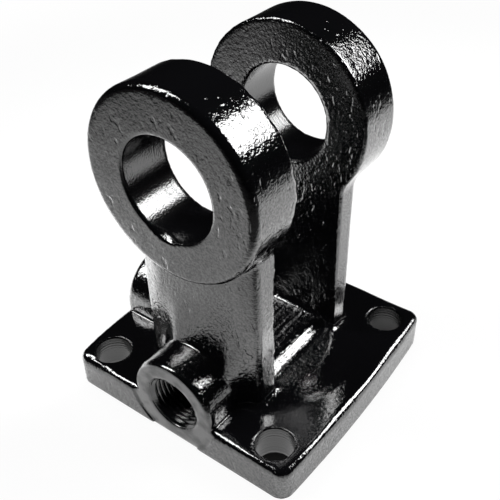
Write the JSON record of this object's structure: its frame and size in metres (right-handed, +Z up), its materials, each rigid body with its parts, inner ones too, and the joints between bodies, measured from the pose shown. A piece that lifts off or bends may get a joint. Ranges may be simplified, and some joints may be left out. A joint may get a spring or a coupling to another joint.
{
  "type": "cylinder rear clevis mount",
  "caption": "Cast end cap of a tie-rod cylinder: a square flanged base with corner bolt holes, a tapped side port and a pair of bored clevis ears for a pivot pin.",
  "frame": {"origin": "on the milled base, under the middle of the pin", "axes": "+Z up from the base to the pin, +Y along the pin from the ported front to the rear, +X across the ears"},
  "size_m": [0.075, 0.0723, 0.0991],
  "materials": {
    "black_enamel": "gloss black enamel over a sand-cast skin, smoother on the bored and milled faces"
  },
  "bodies": {
    "root": {"clevis_mount": "black_enamel"}
  },
  "joints": []
}
